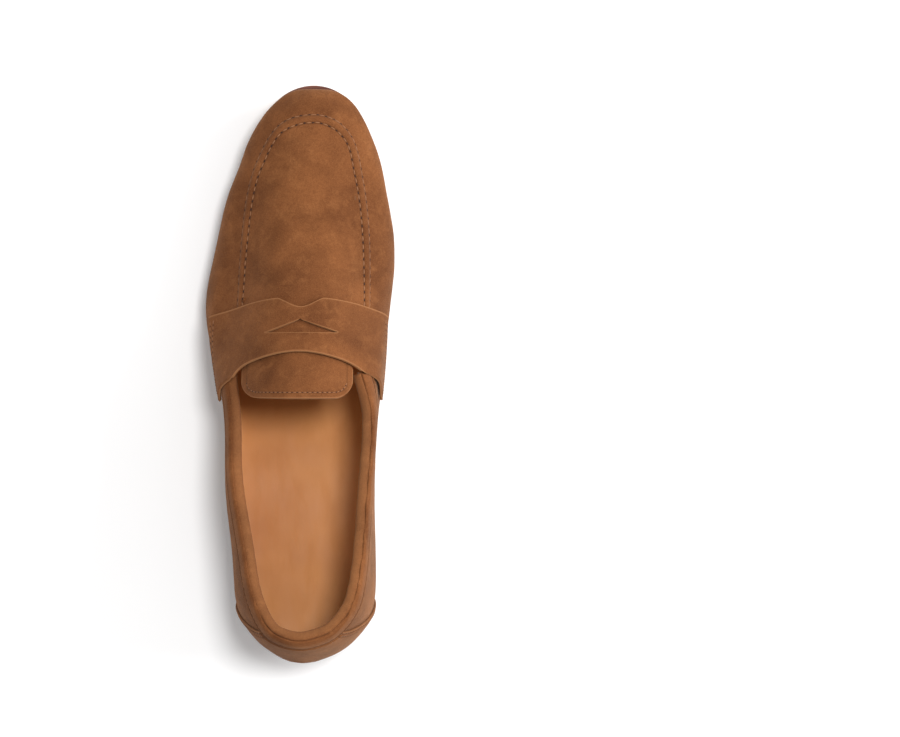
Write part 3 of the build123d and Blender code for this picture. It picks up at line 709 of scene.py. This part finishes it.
def cover_line(side, inset):
    """A line up the cover's front edge, an inset back from it."""
    line = []
    for i in range(2, COVER_ROWS - 1):
        walk = side * (cover_edges[side][i] - inset)
        up = i / COVER_ROWS * (wall_height(walk) - COLLAR_WIDTH)
        normal = wall_normal(walk, up)
        line.append((wall_point(walk, up) + normal * (COLLAR_LIFT - 0.28 * MM), normal))
    return line


bm = sheet_mesh(COVER_COLUMNS, COVER_ROWS, cover_place)
turned(bm, away_from=Vector((SPINE_X, HEEL_TURN, 45 * MM)))
eased(bm, 1)
worn(piece("counter_cover_suede", bm, SUEDE_BROWN, COVER_SUEDE), "shoe", "suede",
     "heel_counter_cover")
sewn("counter_cover_stitching",
     [cover_line(side, row) for side in (-1, 1) for row in COVER_SEWING], **FINE)


# --- Apron: the plug of the forepart and its raised, twice-stitched rim ----------------------
APRON_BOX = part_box("apron")
APRON_X = 3.5 * MM                       # its spine, from its rear edge to where the toe turns
APRON_REAR = APRON_BOX[0].y + 0.3 * MM
APRON_TURN = APRON_BOX[1].y - 33 * MM
APRON_ARC = 48 * MM
APRON_SIDE = APRON_TURN - APRON_REAR
APRON_ROUND = 2 * (APRON_SIDE + APRON_ARC)
RIM_REACH = 9 * MM                       # the part of it with the rim has rows of even width
APRON_COLUMNS, APRON_ROWS, RIM_ROWS, APRON_STEPS = 360, 62, 34, 90
RIM_STEP = RIM_REACH / RIM_ROWS
roof = skin_of("vamp", "apron")
ROOF_START = 24 * MM                     # inside the shoe, over the insole


def apron_station(walk):
    """A ray across the apron, from the lateral side round the toe to the medial side: its foot
    on the spine and the way it goes."""
    side = -1 if walk <= APRON_ROUND / 2 else 1
    reach = min(walk, APRON_ROUND - walk)
    if reach < APRON_SIDE:
        return Vector((APRON_X, APRON_REAR + reach, 0)), Vector((side, 0, 0))
    turn = (reach - APRON_SIDE) / APRON_ARC * math.pi / 2
    return Vector((APRON_X, APRON_TURN, 0)), Vector((side * math.cos(turn), math.sin(turn), 0))


def apron_line(walk):
    """The inner face of the roof along one ray of the apron, from its outer edge to the spine."""
    foot, out = apron_station(walk)

    def on_apron(reach):
        at = foot + out * reach
        return plumb(skins["apron"], at.x, at.y) is not None

    edge = limit(on_apron, 8 * MM, 60 * MM)
    line = []
    for i in range(APRON_STEPS + 1):
        at = foot + out * edge * (1 - i / APRON_STEPS)
        met = plumb(roof, at.x, at.y, ROOF_START, 1)
        if met:
            line.append(met)
    heights = [p.z for p in line]
    for i, p in enumerate(line):         # a ray that slips between two pieces goes too high
        beside = min(3, i, len(line) - 1 - i)
        p.z = sorted(heights[i - beside:i + beside + 1])[beside]
    return line


apron_lines = [apron_line(i / APRON_COLUMNS * APRON_ROUND) for i in range(APRON_COLUMNS + 1)]
apron_totals = [lengths_along(line) for line in apron_lines]


def apron_inset(column, up):
    """Distance in from the rim's edge, closer together near the edge."""
    row = round(up * APRON_ROWS)
    whole = apron_totals[column][-1]
    if row <= RIM_ROWS:
        return RIM_REACH * row / RIM_ROWS
    return RIM_REACH + (whole - RIM_REACH) * (row - RIM_ROWS) / (APRON_ROWS - RIM_ROWS)


def rim_height(inset):
    """The apron's face over the vamp: a rolled rim between two rows, and a plug inside."""
    inner = APRON_ROW + APRON_GAP
    roll = math.sin(min(max((inset - APRON_ROW) / APRON_GAP, 0), 1) * math.pi) ** 0.6
    plug = 0.45 * MM * step_up(inset - inner, 1.3 * MM)
    edge = -0.25 * MM * (1 - step_up(inset, 0.5 * MM))
    return 0.15 * MM + 1.15 * MM * roll + plug + edge


def apron_place(across, up):
    """On the roof's inner face, with the inset in place of the pale-edge and painted-highlight value for
    now.
    """
    column = round(across * APRON_COLUMNS)
    inset = apron_inset(column, up)
    # Painted shade in the grooves of the two stitch rows.
    near = max(bump_of(inset, APRON_ROW, 0.6 * MM), bump_of(inset, APRON_ROW + APRON_GAP, 0.6 * MM))
    return point_along(apron_lines[column], apron_totals[column], inset), 0.62 * near, inset


bm = sheet_mesh(APRON_COLUMNS, APRON_ROWS, apron_place)
turned(bm, away_from=Vector((APRON_X, 60 * MM, 0)))
crowded = [v for v in bm.verts if (v.co.xy - Vector((APRON_X, APRON_TURN))).length < 4 * MM]
bmesh.ops.remove_doubles(bm, verts=crowded, dist=0.2 * MM)
eased(bm, 3)
bm.normal_update()
inset_of = bm.verts.layers.float["raw_and_highlight"]
rim_rows = {APRON_ROW: [], APRON_ROW + APRON_GAP: []}
for vert in bm.verts:
    inset = vert[inset_of]
    ripple = noise.noise(vert.co * 55) * SOFTNESS
    vert.co += vert.normal * (UPPER_INSIDE + rim_height(inset) + ripple)
    vert[inset_of] = 0.0
    for row, places in rim_rows.items():
        if abs(inset - round(row / RIM_STEP) * RIM_STEP) < 0.01 * MM:
            places.append((vert.co.copy(), vert.normal.copy()))
worn(piece("apron_suede", bm, SUEDE_BROWN, SUEDE), "shoe", "suede", "apron")


def round_the_toe(place):
    """Where a point of a rim row comes on the way from the lateral end to the medial one."""
    x, y = place[0].x - APRON_X, place[0].y
    if y < APRON_TURN:
        return math.copysign(APRON_TURN - y + FAR, x)
    return math.atan2(x, y - APRON_TURN) * MM


sewn("apron_stitching", [sorted(places, key=round_the_toe) for places in rim_rows.values()],
     APRON_PITCH, 3.0 * MM, 0.75 * MM, THREAD, 0.62 * MM)


# --- Saddle strap ----------------------------------------------------------------------------
STRAP_FOOT_Z = 28 * MM
STRAP_LOW, STRAP_HIGH = math.radians(-12), math.radians(192)
STRAP_TURNS, STRAP_STEPS = 260, 260
STRAP_COLUMNS, REAR_ROWS, FORE_ROWS = 230, 22, 24
STRAP_END_ROWS = (1.9 * MM, 4.7 * MM)    # its stitch rows, from its ends
STRAP_RIM = 0.03 * MM                    # the sheet stops this short of the edges
LEAST_SPAN = 0.3 * MM
strap_rows = [STRAP_BOX[0].y - MM + i / STRAP_STEPS * (STRAP_BOX[1].y - STRAP_BOX[0].y + 2 * MM)
              for i in range(STRAP_STEPS + 1)]


def strap_ray(angle, y):
    """The angle turns over the instep, from the lateral side to the medial one."""
    return Vector((SPINE_X, y, STRAP_FOOT_Z)), Vector((-math.cos(angle), 0, math.sin(angle)))


def strap_meet(angle, y):
    """The strap's outer face."""
    foot, ray = strap_ray(angle, y)
    return skins["saddle_strap"].ray_cast(foot + ray * FAR, -ray, FAR - 4 * MM)[0]


def strap_near(angle, y, reach):
    """The strap's nearest point to one on a ray that may pass it by."""
    foot, ray = strap_ray(angle, y)
    return skins["saddle_strap"].find_nearest(foot + ray * reach)[0]


def strap_spans(angle):
    """The stretches of y that the strap covers at an angle."""
    spans, start = [], None
    hits = [strap_meet(angle, y) is not None for y in strap_rows]
    for i, hit in enumerate(hits):
        if hit and start is None:
            start = limit(lambda y: strap_meet(angle, y), strap_rows[i], strap_rows[i - 1])
        if start is not None and not hit:
            end = limit(lambda y: strap_meet(angle, y), strap_rows[i - 1], strap_rows[i])
            if end - start > LEAST_SPAN:
                spans.append((start, end))
            start = None
    return spans


strap_table = []
for i in range(STRAP_TURNS + 1):
    turn = STRAP_LOW + (STRAP_HIGH - STRAP_LOW) * i / STRAP_TURNS
    spans = strap_spans(turn)
    if spans:
        strap_table.append((turn, spans))
strap_angles = [turn for turn, _ in strap_table]
strap_rear = [spans[0][0] for _, spans in strap_table]
strap_front = [spans[-1][1] for _, spans in strap_table]
slot_turns = [i for i, (_, spans) in enumerate(strap_table) if len(spans) == 2]
middle = len(strap_table) // 2
rear_corners = (min(range(middle), key=strap_rear.__getitem__),
                min(range(middle, len(strap_table)), key=strap_rear.__getitem__))
front_corners = (0, len(strap_table) - 1)


def read_off(values, index):
    """A value between two entries of a table, by a fractional index."""
    index = min(max(index, 0), len(values) - 1)
    i = min(int(index), len(values) - 2)
    return values[i] + (values[i + 1] - values[i]) * (index - i)


SLOT_REAR = sum(strap_table[i][1][0][1] for i in slot_turns) / len(slot_turns)
slot_front = {i: strap_table[i][1][1][0] for i in slot_turns}
slot_first, slot_last = slot_turns[0] - 1, slot_turns[-1] + 1
SLOT_MIDDLE = (slot_first + slot_last) / 2
SLOT_SHARE = (SLOT_REAR - read_off(strap_rear, SLOT_MIDDLE)) / (
    read_off(strap_front, SLOT_MIDDLE) - read_off(strap_rear, SLOT_MIDDLE))
SLOT_FADE = 40                           # table entries beside the slot over which it stops mattering


def slot_opening(index):
    """How far the slot is open: a flat triangle."""
    if not slot_first < index < slot_last:
        return 0.0
    widths = [0.0] + [slot_front[i] - SLOT_REAR for i in slot_turns] + [0.0]
    return max(read_off(widths, index - slot_first), 0.0)


def parting(index, rear, front):
    """Where the strap's rear part ends and its front part begins: along the slot's straight
    side, and further away at the same share of the strap's width."""
    level = rear + (front - rear) * SLOT_SHARE
    beside = max(slot_first - index, index - slot_last, 0)
    return SLOT_REAR + (level - SLOT_REAR) * min(beside / SLOT_FADE, 1)


def strap_point(across, along, part):
    """A point of the strap: across from the lateral end to the medial one, along from its rear
    edge to the slot (part 0) or from the slot to its front edge (part 1). With it come its
    distance from the long edges and its index in the table."""
    forward = along * 0.5 + part * 0.5
    first = rear_corners[0] + (front_corners[0] - rear_corners[0]) * forward
    last = rear_corners[1] + (front_corners[1] - rear_corners[1]) * forward
    index = first + (last - first) * across
    rear = read_off(strap_rear, min(max(index, rear_corners[0]), rear_corners[1]))
    front = read_off(strap_front, index)
    level = parting(index, rear, front)
    if part:
        start = level + slot_opening(index)
        y = start + (front - start) * along
    else:
        y = rear + (level - rear) * along
    y = min(max(y, rear + STRAP_RIM), front - STRAP_RIM)
    from_edge = min(y - rear, front - y)
    turn = read_off(strap_angles, index)
    for nudge in (0, 0.15 * MM, -0.15 * MM):
        met = strap_meet(turn, y + nudge)
        if met:
            return Vector((met.x, y, met.z)), from_edge, index
    if slot_first < index < slot_last:   # over the slot: the face beside it, carried on
        met = strap_near(turn, y, 60 * MM)
        return Vector((met.x, y, met.z)), from_edge, index
    inwards = math.copysign(0.02 * MM, (rear + front) / 2 - y)
    for back in range(1, 60):            # just off an end: drawn in to the strap
        drawn = index + (SLOT_MIDDLE - index) * back * 0.002
        met = strap_meet(read_off(strap_angles, drawn), y + back * inwards)
        if met:
            return met, from_edge, index
    return strap_near(turn, y, 45 * MM), 0.0, index


def strap_part(part):
    def place(across, along):
        point, from_edge, index = strap_point(across, along, part)
        on_slot = along == 1 - part and slot_opening(index) > 0
        # Paler at the cut edges and round the slot: partly the raw fibres, partly painted highlight.
        return point, 0.0, 0.6 if on_slot else 0.75 * bump_of(from_edge, 0, 0.4 * MM)
    return place


bm = sheet_mesh(STRAP_COLUMNS, REAR_ROWS, strap_part(0))
fore = sheet_mesh(STRAP_COLUMNS, FORE_ROWS, strap_part(1))
fore_mesh = bpy.data.meshes.new("fore")
fore.to_mesh(fore_mesh)
bm.from_mesh(fore_mesh)
fore.free()
bpy.data.meshes.remove(fore_mesh)
turned(bm, away_from=Vector((SPINE_X, 20 * MM, 20 * MM)))
eased(bm, 1)
worn(piece("strap_suede", bm, SUEDE_BROWN, SUEDE, 0.22 * MM), "shoe", "suede", "saddle_strap")


def strap_inside(side, along, part, inset):
    """A point of the strap an inset in from one of its ends."""
    inwards = 0.01 if side == 0 else -0.01
    end = strap_point(side, along, part)[0]
    step = (strap_point(side + inwards, along, part)[0] - end).length
    return strap_point(side + inwards * min(inset / max(step, 0.6 * MM), 6), along, part)[0]


def strap_end_row(side, inset):
    """A stitch row along one end of the strap, clear of its corners."""
    line = []
    for part in (0, 1):
        for i in range(4 - 4 * part, 20 - part):
            here = strap_inside(side, i / 20, part, inset)
            ahead = strap_inside(side, (i + 0.4) / 20, part, inset)
            further = strap_inside(side, i / 20, part, inset + MM)
            normal = (ahead - here).cross(further - here).normalized()
            line.append((here, normal if normal.x * (here.x - SPINE_X) > 0 else -normal))
    return line


sewn("strap_stitching",
     [strap_end_row(side, inset) for side in (0, 1) for inset in STRAP_END_ROWS], **FINE)


# --- Tongue ----------------------------------------------------------------------------------
HINGE = Vector(frame["joints"][0]["pos_m"])
BEND_FROM, BEND_TO = HINGE + Vector((0, 1.0 * MM, 0)), HINGE - Vector((0, 3.5 * MM, 0))
TONGUE_SEWING = 2.9 * MM                 # its stitch row, from its edge
TONGUE_COLUMNS, TONGUE_ROWS = 90, 40


def tongue_rim(tree, box, x):
    """The rear and front ends of the tongue at one x."""
    inside = (box[0].y + box[1].y) / 2
    return tuple(limit(lambda y: plumb(tree, x, y) is not None, inside, end)
                 for end in (box[0].y - MM, box[1].y + MM))


def tongue_sheet(name, from_below):
    """One face of the tongue or of its lining, and its sides' x."""
    tree, box = skins[name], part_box(name)
    x_mid, y_mid = (box[0].x + box[1].x) / 2, (box[0].y + box[1].y) / 2
    ends = [limit(lambda x: plumb(tree, x, y_mid) is not None, x_mid, edge)
            for edge in (box[0].x - MM, box[1].x + MM)]

    def place(across, along):
        share = (1 - math.cos(math.pi * across)) / 2
        x = ends[0] + 0.02 * MM + (ends[1] - ends[0] - 0.04 * MM) * share
        rear, front = tongue_rim(tree, box, x)
        y = rear + (front - rear) * along
        inner_y = min(max(y, rear + 0.02 * MM), front - 0.02 * MM)
        met = plumb(tree, x, inner_y, 30 * MM, 1) if from_below else plumb(tree, x, inner_y)
        from_edge = min(y - rear, x - ends[0], ends[1] - x)
        dip = bump_of(from_edge, TONGUE_SEWING, 0.4 * MM)
        point = Vector((x, y, met.z - (0 if from_below else 0.15 * MM * dip)))
        # Painted shade in the stitch groove; paler cut edge, partly painted highlight.
        return point, 0.5 * dip, 0.55 * bump_of(from_edge, 0, 0.4 * MM)
    return sheet_mesh(TONGUE_COLUMNS, TONGUE_ROWS, place), ends


bm, tongue_ends = tongue_sheet("tongue", False)
turned(bm, away_from=Vector((SPINE_X, 0, 0)))
eased(bm, 1)
tongue = piece("tongue_suede", bm, SUEDE_BROWN, SUEDE, 0.22 * MM)
bm, _ = tongue_sheet("tongue_lining", True)
turned(bm, towards=Vector((SPINE_X, 0, 0)))
eased(bm, 1)
tongue_back = piece("tongue_lining_leather", bm, TAN, LINING, 0.15 * MM)


def tongue_row(inset):
    """A stitch row round the tongue's free end."""
    tree, box = skins["tongue"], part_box("tongue")
    rim = []
    for i in range(121):
        share = (1 - math.cos(math.pi * i / 120)) / 2
        x = tongue_ends[0] + 0.05 * MM + (tongue_ends[1] - tongue_ends[0] - 0.1 * MM) * share
        rim.append(Vector((x, tongue_rim(tree, box, x)[0], 0)))
    line = []
    for before, here, after in zip(rim, rim[2:], rim[4:]):
        along = (after - before).normalized()
        at = here + Vector((-along.y, along.x, 0)) * inset
        met = tree.ray_cast(Vector((at.x, at.y, 0.15)), -UP)
        if met[0]:
            line.append((met[0] - UP * 0.12 * MM, met[1]))
    return line


tongue_sewing = sewn("tongue_stitching", [tongue_row(TONGUE_SEWING)], 2.6 * MM, 1.7 * MM,
                     0.5 * MM, THREAD, 0.42 * MM, body=None)
for thing in (tongue, tongue_back, *tongue_sewing):
    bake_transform(thing, "shoe", "tongue", start=BEND_FROM, end=BEND_TO)
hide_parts("tongue")
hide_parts("tongue_lining")


# --- Linings ---------------------------------------------------------------------------------
LINING_SHORT = 1.5 * MM                  # the lining ends this far below the topline
LINING_END = 0.5 * MM                    # and this far short of the collar's front ends


def lining_piece(name, node, material, reach, rows, columns, slot, lift=0.0):
    """A lining's inner face between two ends, reach from the back of the heel each way."""
    lines = [climb((2 * i / columns - 1) * reach, skins[node], over_sock, from_inside=True)
             for i in range(columns + 1)]
    totals = [lengths_along(line) for line in lines]

    def place(across, up):
        i = round(across * columns)
        point = point_along(lines[i], totals[i], up * (totals[i][-1] - LINING_SHORT))
        foot = station((2 * across - 1) * reach)[0]
        # Painted shade along the foot, where the lining meets the sock lining; only the suede finish shows
        # it.
        return point + (foot - point).normalized() * lift, 0.45 * bump_of(up, 0, 0.05), 0.0
    bm = sheet_mesh(columns, rows, place)
    turned(bm, towards=Vector((SPINE_X, -50 * MM, 40 * MM)))
    eased(bm, 3)
    worn(piece(name, bm, material, LINING), "shoe", slot, node)


def lining_ends(node, start, stop):
    """How far a lining reaches round the wall from the back of the heel."""
    def there(walk):
        foot, out = station(walk)
        return skins[node].ray_cast(foot, (out + UP * 0.15).normalized(), 60 * MM)[0] is not None
    return limit(there, start, stop)


LINING_REACH = min(lining_ends("quarter_lining", 100 * MM, 200 * MM), COLLAR_REACH) - LINING_END
GRIP_REACH = lining_ends("heel_grip", 20 * MM, 100 * MM) - 0.3 * MM
lining_piece("quarter_lining_leather", "quarter_lining", TAN, LINING_REACH, 44, 280,
             "lining_leather")
lining_piece("heel_grip_suede", "heel_grip", SUEDE_BROWN, GRIP_REACH, 30, 90, "suede", 0.1 * MM)

SOCK_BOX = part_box("sock_lining")
SOCK_COLUMNS, SOCK_ROWS = 60, 180
SOCK_CURL = 0.9 * MM                     # it curls up this much against the walls


def sock_ends(y):
    """The sock's sides at one y."""
    return tuple(limit(lambda x: plumb(skins["sock_lining"], x, y) is not None, SPINE_X, end)
                 for end in (SOCK_BOX[0].x - MM, SOCK_BOX[1].x + MM))


def sock_place(across, along):
    share = (1 - math.cos(math.pi * along)) / 2
    y = SOCK_BOX[0].y + 0.15 * MM + (SOCK_BOX[1].y - SOCK_BOX[0].y - 0.3 * MM) * share
    left, right = sock_ends(y)
    x = left + 0.05 * MM + (right - left - 0.1 * MM) * (1 - math.cos(math.pi * across)) / 2
    met = plumb(skins["sock_lining"], x, y)
    from_edge = min(x - left, right - x)
    curl = SOCK_CURL * math.exp(-from_edge / (3 * MM))
    wear = 0.25 * MM * noise.noise(Vector((x, y, 0)) * 35)
    return Vector((x, y, met.z + curl + wear)), 0.0, 0.0


bm = sheet_mesh(SOCK_COLUMNS, SOCK_ROWS, sock_place)
turned(bm, away_from=Vector((SPINE_X, 0, -0.5)))
eased(bm, 4)
worn(piece("sock_lining_leather", bm, TAN, SOCK_LINING), "shoe", "lining_leather", "sock_lining")


# --- Inked line along the lower edge of the sole ---------------------------------------------
def sole_rim(walk, height):
    """A point on the sole's edge, a height over its underside."""
    foot, out = station(walk)
    outside = foot + out * 90 * MM

    def level(z):
        start = Vector((outside.x, outside.y, z))
        return skins["outsole"].ray_cast(start, -out, 90 * MM)[0]

    lowest = limit(level, *sole_levels(foot, out))
    return level(lowest + height) or level(lowest + 0.3 * MM)


def sole_levels(foot, out):
    """A height that meets the sole's edge, and one below it."""
    def over_it(reach):
        at = foot + out * reach
        return plumb(skins["outsole"], at.x, at.y) is not None

    at = foot + out * (limit(over_it, 10 * MM, 90 * MM) - 0.4 * MM)
    top = plumb(skins["outsole"], at.x, at.y).z
    return top - 1.0 * MM, top - 9 * MM


INK = 0.75 * MM                          # the line's height
INK_COLUMNS, INK_ROWS = 500, 4


def ink_place(across, up):
    walk = across * ROUND
    foot, out = station(walk)
    proud = 0.07 * MM * math.sin(math.pi * up) + 0.02 * MM
    return sole_rim(walk, 0.05 * MM + INK * up) + out * proud, 0.0, 0.0


bm = sheet_mesh(INK_COLUMNS, INK_ROWS, ink_place)
turned(bm, away_from=Vector((SPINE_X, 0, 10 * MM)))
worn(piece("sole_edge_line", bm, EDGE_INK, 0.15 * MM), "shoe", "sole_leather")


# --- Finishes of the pieces that keep their shape --------------------------------------------
kept = {
    "outsole": SOLE_LEATHER, "heel_lift_1": HEEL_LEATHER, "heel_lift_2": HEEL_LEATHER,
    "heel_lift_3": HEEL_LEATHER, "leather_top_piece": HEEL_LEATHER, "rubber_top_piece": RUBBER,
    "vamp_lining": TAN, "heel_counter": BOARD, "canvas_interlining": CANVAS, "toe_puff": BOARD,
    "insole_board": BOARD, "heel_pad": FOAM, "steel_shank": STEEL, "cork_filler": CORK,
    "heel_nails": STEEL, "top_piece_brads": BRASS,
}
for name, material in kept.items():
    mesh = frame["nodes"][name].data
    mesh.materials.clear()
    mesh.materials.append(material)


# --- Floor, light and camera -----------------------------------------------------------------
bm = bmesh.new()
bmesh.ops.create_grid(bm, x_segments=1, y_segments=1, size=3.0)
WHITE = plain("pale_floor", (0.94, 0.94, 0.94, 1), (0.96, 0.96, 0.96, 1), 0.9, 3, 0.01 * MM)
floor = piece("floor", bm, WHITE)


def soft_light(name, place, size, power):
    lamp = bpy.data.lights.new(name, "AREA")
    lamp.shape = "DISK"
    lamp.size = size
    lamp.energy = power
    thing = bpy.data.objects.new(name, lamp)
    thing.location = place
    aim = Vector((0, 0, 30 * MM)) - Vector(place)
    thing.rotation_euler = aim.to_track_quat("-Z", "Y").to_euler()
    bpy.context.scene.collection.objects.link(thing)


soft_light("overhead", (0.45, 0.35, 2.15), 0.55, 30)
soft_light("key", (1.6, 0.3, 0.9), 1.1, 24)
world = bpy.data.worlds.new("studio")
world.use_nodes = True
world.node_tree.nodes["Background"].inputs["Color"].default_value = (1, 1, 1, 1)
world.node_tree.nodes["Background"].inputs["Strength"].default_value = 0.54
bpy.context.scene.world = world
bpy.context.scene.view_settings.view_transform = "Standard"

camera = bpy.data.objects.new("camera", bpy.data.cameras.new("camera"))
camera.data.lens = 126.9                 # straight above, with the shoe left of the middle
camera.data.sensor_width = 36
camera.location = (0.079, 0.002, 1.70)
camera.data.clip_start, camera.data.clip_end = 0.05, 10
bpy.context.scene.collection.objects.link(camera)
bpy.context.scene.camera = camera
